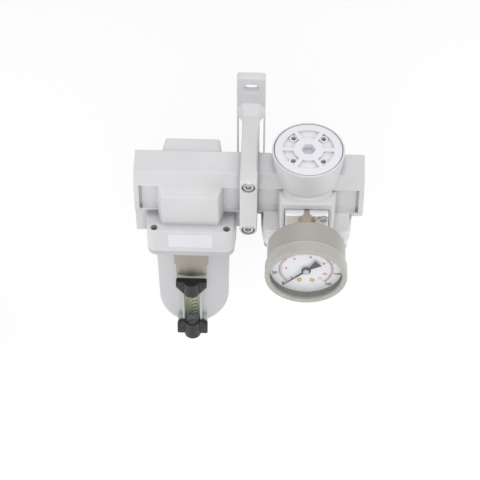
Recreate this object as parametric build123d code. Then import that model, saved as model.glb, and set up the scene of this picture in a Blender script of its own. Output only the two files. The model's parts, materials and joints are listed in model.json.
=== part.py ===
"""Modular air filter and pressure regulator, joined by a T-shaped wall bracket.

Frame: X runs along the air flow, Y to the wall, Z up. The origin is the centre of the inlet
port's mouth, so the port axis is the X axis. All sizes are in millimetres.
"""
import os
from math import cos, pi, radians, sin, sqrt

from build123d import *

# ---- driving dimensions: units and port block ----
unit_width = 96.5
spacer_thickness = 3.0
block_half_height = 26.5
block_flat_half_depth = 12.0
lip_half_depth = 18.5
lip_half_height = 15.0
lip_thickness = 4.2
claw_groove_width = 2.6
claw_groove_depth = 3.9
boss_setback = 3.0
recess_round = 2.4
port_thread_radius = 12.06
port_thread_depth = 18.0
passage_radius = 10.0
joint_seal_radius = 14.5
joint_seal_wire = 1.0
fit_gap = 0.2
thread_gap = 0.05
edge_round = 1.5

# ---- skirts and flanges below the port block ----
flange_half_width = 39.0
flange_corner_half_width = 36.9
flange_half_depth = 35.5
flange_shoulder_depth = 14.0
flange_corner_round = 8.0
filter_flange_top = -25.2
filter_flange_bottom = -51.0
bowl_flange_thickness = 5.6
end_web_width = 11.0
joint_web_half_depth = 6.0
flange_screw_x = 31.2
flange_screw_y = 30.8
flange_screw_radius = 2.5
flange_screw_hole_radius = 3.1

# ---- filter head bosses ----
front_boss_root_half_width = 28.6
front_boss_nose_half_width = 23.8
rear_boss_root_half_width = 26.2
rear_boss_nose_half_width = 23.4
front_boss_depth = 28.5
front_boss_root_top = 15.2
front_boss_nose_top = 11.5
rear_boss_depth = 33.5
rear_boss_top = 19.0
boss_edge_round = 1.6
rear_boss_round = 2.0
rim_edge_round = 1.4
bowl_bore_radius = 29.0
chamber_radius = 22.0
chamber_top = -14.0
centre_stem_radius = 9.0
flange_screw_grip = 7.0
flange_screw_head_height = 4.0
inner_passage_radius = 8.0
inlet_drop_radius = 5.5
inlet_drop_setback = 15.5
centre_passage_radius = 6.0

# ---- bowl ----
bowl_shoulder = 4.1
bowl_draft = 1.8
bowl_bottom = -166.0
bowl_wall = 2.6
bowl_bottom_round = 14.0
bowl_spigot_height = 12.0
bowl_neck_height = 6.0
bowl_seal_wire = 0.85

# ---- level sight ----
sight_boss_lead = 1.9
sight_axis_lead = 2.2
sight_tube_radius = 6.0
sight_groove_gap = 0.8
sight_tube_wall = 1.3
sight_wing_thickness = 5.0
sight_nose_wall = 1.4
sight_ear_width = 4.0
sight_upper_top = -89.5
sight_bracket_height = 16.0
sight_lower_height = 17.0
sight_lower_setup = 2.5
sight_screw_offset = 3.6
sight_screw_radius = 1.5
sight_screw_head_radius = 2.4
sight_screw_length = 6.5
sight_rail_width = 1.8
sight_tube_grip = 7.0
sight_port_radius = 1.5
sight_port_inset = 2.0
float_radius = 3.2
level_plate_half_width = 14.8
level_plate_top = -57.0
level_plate_step = -74.0
level_plate_bottom = -87.5

# ---- filter internals ----
element_outer_radius = 20.0
element_inner_radius = 13.0
element_top = -60.0
element_clearance = 44.0
rod_radius = 3.0
rod_thread_length = 12.0
deflector_radius = 23.0
deflector_thickness = 3.0
deflector_vanes = 12
baffle_radius = 25.0
baffle_thickness = 3.0
baffle_hole_circle = 22.5
baffle_holes = 8
drain_neck_radius = 9.0
drain_cock_radius = 7.0
drain_stem_gap = 0.08
drain_drop = 24.0
drain_stub_radius = 4.2
drain_stub_length = 8.0
drain_seal_wire = 0.62

# ---- T bracket ----
arm_half_width = 7.3
arm_top = 34.0
arm_bottom = 22.3
bar_half_width = 7.5
bar_front = 29.8
bar_back = 17.0
bar_half_height = 35.0
bar_top_round = 4.0
bar_edge_round = 1.6
claw_thickness = 1.5
claw_reach = 14.9
clamp_screw_height = 27.6
clamp_screw_radius = 3.0
clamp_head_radius = 5.0
clamp_head_height = 6.0
clamp_head_recess = 1.0
clamp_counterbore_gap = 0.9
clamp_seam = 0.25
wall_distance = 61.0
foot_thickness = 7.0
foot_edge_round = 1.5
foot_corner_round = 3.2
foot_half_width = 12.4
foot_half_height = 73.4
foot_root_height = 42.8
slot_height = 60.3
slot_length = 14.4
slot_width = 9.9
ramp_start = 47.5
window_outer = 10.8
window_half_height = 36.0
web_thickness = 6.0

# ---- regulator body ----
guide_housing_wall = 1.5
guide_housing_draft = 3.5
guide_housing_top = 45.0
guide_housing_base = 12.9
root_blend = 3.0
regulator_boss_half_width = 22.2
regulator_boss_flare = 2.6
regulator_boss_depth = 33.3
regulator_flange_top = -24.2
regulator_flange_bottom = -38.4
regulator_flange_half_depth = 31.5
regulator_slope_depth = 19.0
regulator_slope_top = -15.0
valve_chamber_radius = 15.5
valve_seat_height = 8.0
valve_seat_radius = 7.0
poppet_radius = 10.0
poppet_thickness = 4.0
valve_stem_radius = 4.0
push_rod_radius = 2.4
diaphragm_thickness = 1.5
diaphragm_grip = 4.0
diaphragm_chamber_radius = 24.0
diaphragm_dip = 4.2
plate_radius = 18.0
plate_thickness = 2.5

# ---- valve guide ----
guide_top = 45.5
guide_floor = 35.0
guide_radius = 28.6
guide_gap = 0.7
guide_hub_radius = 14.0
guide_hub_bottom = 22.0
guide_screw_circle = 17.9
guide_screw_radius = 1.5
guide_screw_hole_radius = 2.3
guide_screw_seat = 3.0
guide_hex_width = 11.0
guide_pocket_depth = 2.0
guide_pocket_outer = 21.8
guide_pocket_inner = 12.6
guide_rib_width = 3.6

# ---- bonnet, spring and knob ----
bonnet_flange_bottom = -46.6
bonnet_flange_inset = 0.8
bonnet_radius = 27.0
bonnet_neck_step = 5.0
bonnet_shoulder = -90.0
bonnet_bottom = -98.0
bonnet_floor_thickness = 4.0
bonnet_wall = 4.6
bonnet_keys = 16
bonnet_screw_radius = 2.5
bonnet_screw_head_radius = 4.0
bonnet_screw_head_height = 4.5
bonnet_screw_reach = 8.0
adjusting_screw_radius = 5.0
adjusting_screw_top = -58.0
spring_seat_gap = 1.4
spring_seat_key_half_width = 1.4
spring_seat_key_room = 0.4
spring_seat_top = -80.0
spring_seat_thickness = 6.0
adjusting_spring_radius = 15.0
adjusting_spring_wire = 1.9
adjusting_spring_turns = 6
valve_spring_radius = 6.5
valve_spring_wire = 0.7
valve_spring_turns = 5
hub_hex_width = 16.0
hub_bottom = -114.0
knob_radius = 27.0
knob_top = -91.0
knob_bottom = -126.0
knob_flutes = 30
knob_flute_radius = 1.0

# ---- pressure gauge ----
gauge_front = 102.0
bezel_wall = 1.55
bezel_lip = 2.7
bezel_back = 90.8
case_radius = 32.7
case_back = 67.5
case_wall = 1.4
case_back_round = 2.6
bezel_round = 1.3
dial_depth = 92.9
dial_thickness = 0.8
dial_screw_x = 5.3
dial_screw_drop = 13.5
dial_screw_radius = 0.95
dial_screw_head_radius = 1.9
dial_post_radius = 2.1
lens_depth = 99.0
lens_thickness = 1.8
pointer_tip_gap = 3.2
pointer_tail = 14.0
pointer_tail_half_width = 3.8
pointer_angle_at_zero = 225.0
spindle_radius = 0.78
pressure_tube_gap = 8.2
pressure_tube_radius = 2.4
stem_collar_radius = 7.0
stem_collar_front = 46.0
stem_hexagon = 12.6
stem_thread_radius = 6.2
stem_bore_radius = 2.0
pocket_half_width = 19.0
pocket_top = 6.7
pocket_bottom = -20.2
pocket_depth = 28.3
cover_gap = 0.7
cover_front = 39.4
cover_screw_x = 14.0
cover_screw_inset = 4.2
cover_screw_radius = 2.0
cover_screw_head_radius = 3.9
cover_screw_head_height = 2.0

# ---- places that follow from the sizes above ----
filter_x = unit_width / 2
spacer_x0 = unit_width
spacer_x1 = unit_width + spacer_thickness
bracket_x = unit_width + spacer_thickness / 2
regulator_x = spacer_x1 + unit_width / 2
outlet_x = spacer_x1 + unit_width

# The bowl, its sight and what hangs from them.
bowl_flange_bottom = filter_flange_bottom - bowl_flange_thickness
bowl_top_radius = bowl_bore_radius + bowl_shoulder
bowl_low_radius = bowl_top_radius - bowl_draft
flange_screw_head_floor = filter_flange_bottom + flange_screw_grip
sight_boss_depth = bowl_top_radius + sight_boss_lead
sight_axis_depth = sight_boss_depth + sight_axis_lead
sight_wing_depth = sight_boss_depth + sight_wing_thickness
sight_groove_radius = sight_tube_radius + sight_groove_gap
sight_nose_radius = sight_tube_radius + sight_nose_wall
sight_rail_x = sight_groove_radius + sight_rail_width / 2 + 0.1
sight_screw_x = sight_tube_radius + sight_screw_offset
sight_wing_half_width = sight_screw_x + sight_ear_width
sight_boss_half_width = sight_wing_half_width - 0.6
sight_upper_bottom = sight_upper_top - sight_bracket_height
sight_lower_bottom = bowl_bottom + sight_lower_setup
sight_lower_top = sight_lower_bottom + sight_lower_height
element_bottom = bowl_bottom + element_clearance
drain_neck_low = bowl_bottom - bowl_neck_height
drain_bottom = bowl_bottom - drain_drop
drain_bore_radius = drain_cock_radius - 2.0

# The bracket's clamp.
clamp_head_floor = -bar_front + clamp_head_height + clamp_head_recess

# The regulator's insides and its gauge.
guide_housing_rim_radius = guide_radius + guide_gap + guide_housing_wall
guide_housing_base_radius = guide_housing_rim_radius - guide_housing_draft
diaphragm_radius = diaphragm_chamber_radius + diaphragm_grip
bonnet_neck_radius = bonnet_radius - bonnet_neck_step
bonnet_bore_radius = bonnet_radius - bonnet_wall
bonnet_floor = bonnet_bottom + bonnet_floor_thickness
spring_seat_radius = bonnet_bore_radius - spring_seat_gap
bezel_radius = case_radius + bezel_wall
bezel_opening = case_radius - bezel_lip
dial_radius = case_radius - 2.5
pointer_length = dial_radius - pointer_tip_gap
pressure_tube_bend = dial_radius - pressure_tube_gap

parts = {}


# ---- small shape helpers ----
def slab(x0, x1, y0, y1, z0, z1):
    """A box between two corners."""
    box = Box(x1 - x0, y1 - y0, z1 - z0)
    return Pos((x0 + x1) / 2, (y0 + y1) / 2, (z0 + z1) / 2) * box


def post(radius, x, y, z0, z1):
    """An upright cylinder."""
    return Pos(x, y, (z0 + z1) / 2) * Cylinder(radius, z1 - z0)


def bar_x(radius, x0, x1, y, z):
    """A cylinder along X."""
    return Pos((x0 + x1) / 2, y, z) * Rot(0, 90, 0) * Cylinder(radius, x1 - x0)


def bar_y(radius, y0, y1, x, z):
    """A cylinder along Y."""
    return Pos(x, (y0 + y1) / 2, z) * Rot(90, 0, 0) * Cylinder(radius, y1 - y0)


def taper(radius_low, radius_high, x, y, z0, z1):
    """An upright cone between two heights."""
    return Pos(x, y, (z0 + z1) / 2) * Cone(radius_low, radius_high, z1 - z0)


def prism_x(points_yz, x0, x1):
    """A polygon in the YZ plane, run along X."""
    face = make_face(Polyline([(x0, y, z) for y, z in points_yz], close=True))
    return extrude(face, amount=x1 - x0, dir=(1, 0, 0))


def prism_y(points_xz, y0, y1):
    """A polygon in the XZ plane, run along Y."""
    face = make_face(Polyline([(x, y0, z) for x, z in points_xz], close=True))
    return extrude(face, amount=y1 - y0, dir=(0, 1, 0))


def prism_z(points_xy, z0, z1):
    """A polygon in the XY plane, run along Z."""
    face = make_face(Polyline([(x, y, z0) for x, y in points_xy], close=True))
    return extrude(face, amount=z1 - z0, dir=(0, 0, 1))


def lofted_y(x, near_xz, y0, far_xz, y1):
    """Straight faces between two outlines of equal count, at two depths."""
    outlines = []
    for points, y in ((near_xz, y0), (far_xz, y1)):
        outlines.append(make_face(Polyline([(x + px, y, pz) for px, pz in points], close=True)))
    return loft(outlines, ruled=True)


def turned(points_rz, x, y=0):
    """A solid of revolution about the upright line at x, y."""
    face = make_face(Polyline([(r, 0, z) for r, z in points_rz], close=True))
    return Pos(x, y, 0) * revolve(face, Axis.Z)


def turned_y(points_ry, x, z=0):
    """A solid of revolution about a line along Y."""
    face = make_face(Polyline([(r, y, 0) for r, y in points_ry], close=True))
    return Pos(x, 0, z) * revolve(face, Axis.Y)


def softened(shape, radius, chosen):
    """Rounds the edges whose centre the test picks out."""
    return fillet(shape.edges().filter_by(lambda e: chosen(e.center())), radius)


def ring(radius, wire, x, z):
    """An O-ring lying flat."""
    return Pos(x, 0, z) * Torus(radius, wire)


def coil(radius, wire, turns, x, z0, z1):
    """A helical spring between two heights, its wire just inside them."""
    low = z0 + wire
    high = z1 - wire
    path = Helix(pitch=(high - low) / turns, height=high - low, radius=radius)
    section = Plane(origin=path @ 0, z_dir=path % 0) * Circle(wire)
    return Pos(x, 0, low) * sweep(section, path=path, is_frenet=True)


def group(*solids):
    """Separate solids kept together in one node."""
    return Compound(children=list(solids))


# ---- the port block that both units share ----
def block_outline():
    """The octagon of the port block's end, in Y and Z."""
    f, h = block_flat_half_depth, block_half_height
    d, z = lip_half_depth, lip_half_height
    return [(-f, h), (f, h), (d, z), (d, -z), (f, -h), (-f, -h), (-d, -z), (-d, z)]


def port_block(x0, joint_end):
    """The block of one unit. joint_end is -1 where its left end meets the spacer, or 1."""
    x1 = x0 + unit_width
    block = prism_x(block_outline(), x0, x1)
    block = fillet(block.edges().filter_by(Axis.X), edge_round)
    boss_face = lip_half_depth - boss_setback
    groove_face = lip_half_depth - claw_groove_depth
    boss_left = x0 + lip_thickness
    boss_right = x1 - lip_thickness
    for side in (-1, 1):
        near, far = sorted((side * boss_face, side * (lip_half_depth + 9)))
        recess = slab(boss_left, boss_right, near, far, -lip_half_height + 0.6, lip_half_height - 0.6)
        block -= softened(recess, recess_round, lambda c: abs(c.Y - side * boss_face) < 0.01)
        near, far = sorted((side * groove_face, side * (lip_half_depth + 1)))
        for start in (boss_left, boss_right - claw_groove_width):
            end = start + claw_groove_width
            block -= slab(start, end, near, far, -lip_half_height, lip_half_height)
    joint_x = x0 if joint_end < 0 else x1
    notch = arm_half_width - spacer_thickness / 2 + fit_gap
    notch_x0, notch_x1 = sorted((joint_x, joint_x - joint_end * notch))
    arm_seat = arm_bottom - fit_gap
    for z0, z1 in ((arm_seat, block_half_height + 1), (-block_half_height - 1, -arm_seat)):
        block -= slab(notch_x0, notch_x1, -lip_half_depth, lip_half_depth, z0, z1)
    return block


def port_and_seal_cuts(outer_x, joint_x):
    """The outer threaded port, the joint's passage and the groove of its face seal."""
    way = 1 if joint_x > outer_x else -1
    port_end = outer_x + way * port_thread_depth
    cuts = bar_x(port_thread_radius, *sorted((outer_x, port_end)), 0, 0)
    joint_end = joint_x - way * port_thread_depth
    cuts += bar_x(passage_radius, *sorted((joint_x, joint_end)), 0, 0)
    groove_x = joint_x - way * 2 * joint_seal_wire * 0.8
    seat = bar_x(joint_seal_radius + joint_seal_wire, *sorted((joint_x, groove_x)), 0, 0)
    seat -= bar_x(joint_seal_radius - joint_seal_wire, *sorted((joint_x, groove_x)), 0, 0)
    return cuts + seat


def flared(x, root_width, root_y, nose_width, nose_y):
    """A tall block whose sides draw in from its root to its nose."""
    inner_y = root_y - 0.6 * (nose_y - root_y)
    inner = root_width + 0.6 * (root_width - nose_width)
    plan = [(x - inner, inner_y), (x + inner, inner_y), (x + nose_width, nose_y), (x - nose_width, nose_y)]
    return prism_z(plan, -60, 60)


def skirt_outline(x, half_depth, inset=0.0):
    """The bowed plan of a flange: widest beside the axis, narrower at its corners."""
    w = flange_half_width - inset
    c = flange_corner_half_width - inset
    d = half_depth - inset
    s = flange_shoulder_depth
    right = [(x + c, -d), (x + w, -s), (x + w, s), (x + c, d)]
    left = [(2 * x - px, py) for px, py in reversed(right)]
    return right + left


def skirt(x, half_depth, z0, z1, inset=0.0, rim_round=0.0):
    """A flange with rounded upright corners and, if asked, a rounded upper rim."""
    body = prism_z(skirt_outline(x, half_depth, inset), z0, z1)
    corner_y = half_depth - inset
    corners = body.edges().filter_by(Axis.Z).filter_by(lambda e: abs(abs(e.center().Y) - corner_y) < 0.1)
    body = fillet(corners, flange_corner_round)
    if rim_round:
        body = softened(body, rim_round, lambda c: c.Z > z1 - 0.01)
    return body


def flange_screw_places(x):
    """The four corner screws of the filter's flange."""
    return [(x + i * flange_screw_x, j * flange_screw_y) for i in (-1, 1) for j in (-1, 1)]


# ---- filter head ----
def make_filter_body():
    head = port_block(0, 1)
    front = [
        (-lip_half_depth + 8, front_boss_root_top),
        (-lip_half_depth, front_boss_root_top),
        (-front_boss_depth, front_boss_nose_top),
        (-front_boss_depth + 1.0, filter_flange_top - 2),
        (-lip_half_depth + 8, filter_flange_top - 2),
    ]
    rear = [
        (lip_half_depth - 8, rear_boss_top),
        (rear_boss_depth, rear_boss_top),
        (rear_boss_depth, filter_flange_top - 2),
        (lip_half_depth - 8, filter_flange_top - 2),
    ]
    root_depth = lip_half_depth - boss_setback
    for profile, side in ((front, -1), (rear, 1)):
        root_width = front_boss_root_half_width if side < 0 else rear_boss_root_half_width
        nose_width = front_boss_nose_half_width if side < 0 else rear_boss_nose_half_width
        nose = side * (front_boss_depth if side < 0 else rear_boss_depth)
        boss = prism_x(profile, filter_x - root_width, filter_x + root_width)
        boss = boss & flared(filter_x, root_width, side * root_depth, nose_width, nose)
        reach = lip_half_depth + 0.5
        round_radius = boss_edge_round if side < 0 else rear_boss_round
        head += softened(boss, round_radius, lambda c: abs(c.Y) > reach and c.Z > filter_flange_top)
    head += skirt(filter_x, flange_half_depth, filter_flange_bottom, filter_flange_top, 0.0, rim_edge_round)
    head += slab(
        filter_x - rear_boss_root_half_width, filter_x + rear_boss_root_half_width,
        -lip_half_depth, lip_half_depth, filter_flange_top - 1, -lip_half_height,
    )
    for x0, half_depth in ((0, block_flat_half_depth), (unit_width - end_web_width, joint_web_half_depth)):
        head += slab(
            x0, x0 + end_web_width, -half_depth, half_depth, filter_flange_bottom, -block_half_height + 1,
        )
    arm_gap = arm_half_width - spacer_thickness / 2 + fit_gap
    head -= slab(
        unit_width - arm_gap, unit_width, -block_flat_half_depth - 1, block_flat_half_depth + 1,
        -arm_top - fit_gap, -arm_bottom + fit_gap,
    )
    bore_top = filter_flange_bottom + bowl_spigot_height + 2.0
    head -= post(bowl_bore_radius, filter_x, 0, filter_flange_bottom, bore_top)
    head -= post(chamber_radius, filter_x, 0, filter_flange_bottom, chamber_top)
    head += post(centre_stem_radius, filter_x, 0, filter_flange_bottom, chamber_top)
    inlet_drop_x = filter_x - inlet_drop_setback
    head -= port_and_seal_cuts(0, unit_width)
    head -= bar_x(inner_passage_radius, 0, inlet_drop_x, 0, 0)
    head -= post(inlet_drop_radius, inlet_drop_x, 0, chamber_top - 1, 0)
    head -= bar_x(inner_passage_radius, filter_x, unit_width, 0, 0)
    head -= post(centre_passage_radius, filter_x, 0, filter_flange_bottom, 0)
    for x, y in flange_screw_places(filter_x):
        head -= post(flange_screw_hole_radius, x, y, flange_screw_head_floor, filter_flange_top + 1)
        head -= post(flange_screw_radius + fit_gap, x, y, filter_flange_bottom, flange_screw_head_floor)
    return head


def make_flange_screws():
    """Socket-head screws deep in the flange's corner holes."""
    screws = []
    head_floor = flange_screw_head_floor
    head_top = head_floor + flange_screw_head_height
    for x, y in flange_screw_places(filter_x):
        screw = post(flange_screw_hole_radius - fit_gap, x, y, head_floor, head_top)
        screw += post(flange_screw_radius, x, y, bowl_flange_bottom + 0.5, head_floor)
        socket = prism_z(hexagon(x, y, 2.6), head_floor + 1.8, head_floor + 5)
        screws.append(screw - socket)
    return group(*screws)


def hexagon(x, y, across_flats, turn=0.0):
    """The corners of a hexagon."""
    r = across_flats / sqrt(3)
    return [(x + r * cos(radians(turn + 60 * i)), y + r * sin(radians(turn + 60 * i))) for i in range(6)]


# ---- bowl ----
def bowl_form(offset=0.0):
    """The bowl's round body, offset inwards, with its rounded bottom."""
    bottom = bowl_bottom + offset
    profile = [
        (0, bowl_flange_bottom + 0.5), (bowl_top_radius - offset, bowl_flange_bottom + 0.5),
        (bowl_low_radius - offset, bottom), (0, bottom),
    ]
    form = turned(profile, filter_x)
    return softened(form, bowl_bottom_round - offset, lambda c: abs(c.Z - bottom) < 0.01)


def make_filter_bowl():
    bowl = bowl_form()
    bowl += skirt(filter_x, flange_half_depth, bowl_flange_bottom, filter_flange_bottom)
    spigot_top = filter_flange_bottom + bowl_spigot_height
    bowl += post(bowl_bore_radius - fit_gap, filter_x, 0, filter_flange_bottom, spigot_top)
    for z0, z1 in ((sight_upper_bottom, sight_upper_top + 1.5), (sight_lower_bottom, sight_lower_top)):
        bowl += slab(
            filter_x - sight_boss_half_width, filter_x + sight_boss_half_width,
            -sight_boss_depth, -bowl_low_radius + bowl_bottom_round, z0, z1,
        )
    for side in (-1, 1):
        x = filter_x + side * sight_rail_x
        bowl += slab(
            x - sight_rail_width / 2, x + sight_rail_width / 2,
            -sight_axis_depth, -bowl_low_radius + 4,
            sight_lower_top + fit_gap, sight_upper_bottom - fit_gap,
        )
    bowl += post(drain_neck_radius, filter_x, 0, drain_neck_low, bowl_bottom + 2)
    bowl -= bowl_form(bowl_wall)
    bowl -= post(bowl_bore_radius - bowl_wall, filter_x, 0, bowl_flange_bottom - 1, spigot_top)
    bowl -= post(drain_bore_radius, filter_x, 0, drain_neck_low - 1, bowl_bottom + 4)
    seal_z = spigot_top - 4
    groove = post(bowl_bore_radius + 1, filter_x, 0, seal_z - 1.1, seal_z + 1.1)
    groove -= post(bowl_bore_radius - 1.8, filter_x, 0, seal_z - 1.1, seal_z + 1.1)
    bowl -= groove
    for x, y in flange_screw_places(filter_x):
        bowl -= post(flange_screw_radius + thread_gap, x, y, bowl_flange_bottom - 1, filter_flange_bottom)
    for z in sight_screw_heights():
        for side in (-1, 1):
            x = filter_x + side * sight_screw_x
            hole_end = -sight_boss_depth + sight_screw_length + 0.5
            bowl -= bar_y(sight_screw_radius + thread_gap, -sight_boss_depth - 1, hole_end, x, z)
    low, high = sight_socket_heights()
    bowl -= post(sight_groove_radius, filter_x, -sight_axis_depth, low, high)
    for z in (low + sight_port_inset, high - sight_port_inset):
        bowl -= bar_y(sight_port_radius, -sight_boss_depth - 1, -bowl_low_radius + 6, filter_x, z)
    return bowl


def sight_screw_heights():
    """Heights of the upper and lower pairs of sight screws."""
    return sight_upper_top - 6.2, sight_lower_bottom + 5.5


def sight_tube_heights():
    """The ends of the sight tube, inside its two clamps."""
    return sight_lower_top - sight_tube_grip, sight_upper_bottom + sight_tube_grip


def sight_socket_heights():
    """The ends of the channel round the tube, where the bowl's liquid comes in."""
    low, high = sight_tube_heights()
    return low - 1.5 - 2 * sight_port_radius, high + 1.5 + 2 * sight_port_radius


def make_sight_bracket(top, bottom, upper):
    """A black clamp with two ears and a round nose that holds an end of the tube."""
    w, n = sight_wing_half_width, sight_tube_radius + 1.2
    mid = (top + bottom) / 2
    if upper:
        outline = [(-w, top), (w, top), (w, mid + 1.5), (n, bottom), (-n, bottom), (-w, mid + 1.5)]
    else:
        outline = [(-n, top), (n, top), (w, mid + 3.0), (w, bottom), (-w, bottom), (-w, mid + 3.0)]
    places = [(filter_x + x, z) for x, z in outline]
    clamp = prism_y(places, -sight_wing_depth, -sight_boss_depth)
    clamp = fillet(clamp.edges().filter_by(Axis.Y), edge_round)
    nose_low = bottom if upper else bottom - 2.5
    clamp += post(sight_nose_radius, filter_x, -sight_axis_depth, nose_low, top)
    clamp -= slab(
        filter_x - sight_nose_radius, filter_x + sight_nose_radius,
        -sight_boss_depth, -sight_axis_depth + sight_nose_radius, nose_low, top,
    )
    low, high = sight_socket_heights()
    clamp -= post(sight_tube_radius + fit_gap, filter_x, -sight_axis_depth, low, high)
    screw_z = sight_screw_heights()[0] if upper else sight_screw_heights()[1]
    for side in (-1, 1):
        x = filter_x + side * sight_screw_x
        front = -sight_wing_depth - 1
        clamp -= bar_y(sight_screw_radius + fit_gap, front, -sight_boss_depth + 1, x, screw_z)
        clamp -= bar_y(sight_screw_head_radius + fit_gap, front, -sight_wing_depth + 2, x, screw_z)
    return clamp


def make_sight_screws():
    """Two screws for each sight clamp, their heads sunk in the ears."""
    screws = []
    for z in sight_screw_heights():
        for side in (-1, 1):
            x = filter_x + side * sight_screw_x
            head_back = -sight_wing_depth + 2
            screw = bar_y(sight_screw_head_radius, head_back - 2.2, head_back, x, z)
            screw += bar_y(sight_screw_radius, head_back, -sight_boss_depth + sight_screw_length, x, z)
            for slot in ((1.6, 0.35), (0.35, 1.6)):
                screw -= slab(
                    x - slot[0], x + slot[0], head_back - 3, head_back - 1.2, z - slot[1], z + slot[1],
                )
            screws.append(screw)
    return group(*screws)


def make_sight():
    """The tube, the striped strip behind it, its end seals, the float and the plate above."""
    tube_low, tube_high = sight_tube_heights()
    r = sight_tube_radius
    tube = post(r, filter_x, -sight_axis_depth, tube_low, tube_high)
    tube -= post(r - sight_tube_wall, filter_x, -sight_axis_depth, tube_low, tube_high)
    parts["sight_glass"] = tube
    strip_low, strip_high = sight_lower_top + 0.3, sight_upper_bottom - 0.3
    strip = post(r + 0.55, filter_x, -sight_axis_depth, strip_low, strip_high)
    strip -= post(r + 0.15, filter_x, -sight_axis_depth, strip_low, strip_high)
    strip -= slab(
        filter_x - 2 * r, filter_x + 2 * r, -sight_axis_depth - 2 * r, -sight_axis_depth + 0.5,
        strip_low, strip_high,
    )
    parts["sight_reflector"] = strip
    seals = []
    for low in (tube_low - 0.9, tube_high + 0.1):
        seal = post(r - 0.2, filter_x, -sight_axis_depth, low, low + 0.8)
        seals.append(seal - post(r - 2.2, filter_x, -sight_axis_depth, low, low + 0.8))
    parts["sight_seals"] = group(*seals)
    float_z = sight_lower_top + float_radius + 0.5
    parts["float_ball"] = Pos(filter_x, -sight_axis_depth, float_z) * Sphere(float_radius)
    parts["sight_bracket_upper"] = make_sight_bracket(sight_upper_top, sight_upper_bottom, True)
    parts["sight_bracket_lower"] = make_sight_bracket(sight_lower_top, sight_lower_bottom, False)
    parts["sight_bracket_screws"] = make_sight_screws()
    back = bowl_top_radius + 0.1
    front_side = slab(
        filter_x - level_plate_half_width, filter_x + level_plate_half_width,
        -bowl_top_radius - 5, -20, level_plate_step, level_plate_top,
    )
    plate = (post(back + 1.5, filter_x, 0, level_plate_step, level_plate_top)
             - post(back, filter_x, 0, level_plate_step, level_plate_top)) & front_side
    narrow = level_plate_half_width - 1.4
    for index, depth in enumerate((1.2, 1.0)):
        z1 = level_plate_step - index * 4.5
        z0 = level_plate_bottom if index else z1 - 4.5
        band = post(back + depth, filter_x, 0, z0, z1) - post(back, filter_x, 0, z0, z1)
        plate += band & slab(filter_x - narrow, filter_x + narrow, -bowl_top_radius - 5, -20, z0, z1)
    parts["level_plate"] = plate


# ---- filter internals ----
def make_filter_internals():
    x = filter_x
    stem_low = filter_flange_bottom
    seal_z = stem_low + bowl_spigot_height - 4
    parts["bowl_seal"] = ring(bowl_bore_radius - bowl_seal_wire - 0.07, bowl_seal_wire, x, seal_z)
    deflector = post(deflector_radius, x, 0, element_top, element_top + deflector_thickness)
    deflector += post(centre_stem_radius, x, 0, element_top, stem_low)
    for i in range(deflector_vanes):
        vane = slab(
            x + centre_stem_radius - 0.4, x + deflector_radius - 0.4, -0.7, 0.7,
            element_top + deflector_thickness - 0.5, stem_low - 0.6,
        )
        deflector += Pos(x, 0, 0) * Rot(0, 0, 360 / deflector_vanes * i) * Pos(-x, 0, 0) * vane
    deflector -= post(rod_radius + fit_gap, x, 0, element_top - 1, stem_low + 1)
    for i in range(6):
        a = radians(60 * i + 15)
        deflector -= post(1.6, x + 6.2 * cos(a), 6.2 * sin(a), element_top - 1, stem_low + 1)
    parts["deflector"] = deflector
    element = post(element_outer_radius, x, 0, element_bottom, element_top)
    element -= post(element_inner_radius, x, 0, element_bottom, element_top)
    parts["filter_element"] = element
    baffle = post(baffle_radius, x, 0, element_bottom - baffle_thickness, element_bottom)
    baffle -= post(rod_radius + fit_gap, x, 0, element_bottom - baffle_thickness, element_bottom)
    for i in range(baffle_holes):
        a = 2 * pi * i / baffle_holes
        hole_x, hole_y = x + baffle_hole_circle * cos(a), baffle_hole_circle * sin(a)
        baffle -= post(1.2, hole_x, hole_y, element_bottom - baffle_thickness, element_bottom)
    parts["baffle"] = baffle
    rod_low = element_bottom - baffle_thickness - 4
    rod_high = stem_low + rod_thread_length
    rod = post(rod_radius, x, 0, rod_low, rod_high)
    rod += prism_z(hexagon(x, 0, 11.0), rod_low - 1, rod_low + 4)
    spoke_reach = centre_passage_radius - 0.1
    for turn in (0, 60, 120):
        spoke = slab(x - spoke_reach, x + spoke_reach, -0.8, 0.8, rod_high - 3, rod_high)
        rod += Pos(x, 0, 0) * Rot(0, 0, turn) * Pos(-x, 0, 0) * spoke
    parts["element_rod"] = rod


def make_drain():
    """A drain cock that turns in the bowl's neck."""
    x = filter_x
    stem = drain_bore_radius - drain_stem_gap
    cock = post(stem, x, 0, drain_neck_low, bowl_bottom + 2.5)
    stub_top = drain_bottom + drain_stub_length
    grip = prism_z(hexagon(x, 0, 2 * drain_cock_radius - 1), stub_top, drain_neck_low - 0.4)
    cock += grip + post(stem, x, 0, drain_neck_low - 1, drain_neck_low + 0.1)
    cock += post(drain_stub_radius, x, 0, drain_bottom, stub_top + 0.1)
    for z in (drain_bottom + 2.0, drain_bottom + 5.0):
        groove = post(drain_stub_radius + 0.8, x, 0, z, z + 0.8)
        cock -= groove - post(drain_stub_radius - 0.5, x, 0, z, z + 0.8)
    cock -= post(2.0, x, 0, drain_bottom - 1, bowl_bottom + 3)
    seal_z = bowl_bottom - 2
    low, high = seal_z - 0.9, seal_z + 0.9
    cock -= post(stem + 1, x, 0, low, high) - post(stem - 1.3, x, 0, low, high)
    parts["drain_cock"] = cock
    parts["drain_seal"] = ring(stem - drain_seal_wire + 0.02, drain_seal_wire, x, seal_z)


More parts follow.
